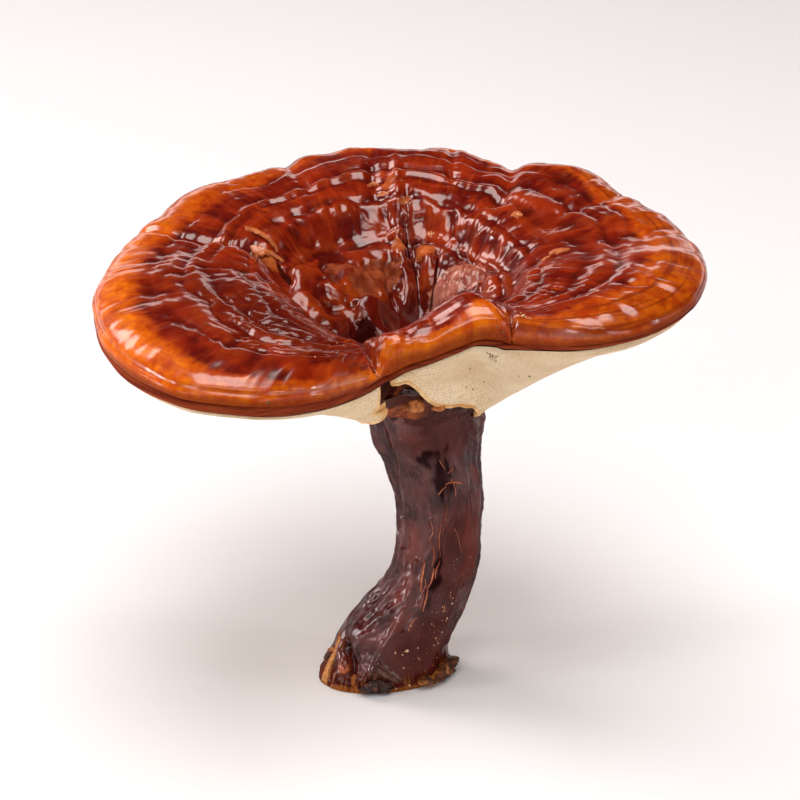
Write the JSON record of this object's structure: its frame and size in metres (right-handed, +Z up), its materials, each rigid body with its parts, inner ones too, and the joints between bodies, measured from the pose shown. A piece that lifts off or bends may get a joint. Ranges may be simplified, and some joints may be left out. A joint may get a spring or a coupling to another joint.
{
  "type": "reishi mushroom",
  "caption": "Reishi mushroom: a lacquered, funnel-shaped cap with a rolled margin and a cream pore layer, on a dark curved stem that is cut off flat so that it stands upright.",
  "frame": {"origin": "middle of the flat cut at the foot of the stem, on the surface that it stands on", "axes": "+Z up along the standing mushroom; +X along the cap's longest width, to the right seen from the notched side; -Y out of the notched side"},
  "size_m": [0.1494, 0.1305, 0.1242],
  "materials": {
    "cap_crust": "glossy natural lacquer, maroon in the funnel, orange at the margin",
    "pore_surface": "matt cream, finely porous",
    "stem_crust": "dark purplish brown lacquer, satin to glossy",
    "bark": "rough, dull bark",
    "splinter_wood": "torn, dull wood"
  },
  "bodies": {
    "root": {"cap": "cap_crust", "pore_layer": "pore_surface", "stem": "stem_crust", "bark_chip": "bark", "bark_crumb": "bark", "wood_splinter": "splinter_wood"}
  },
  "joints": []
}
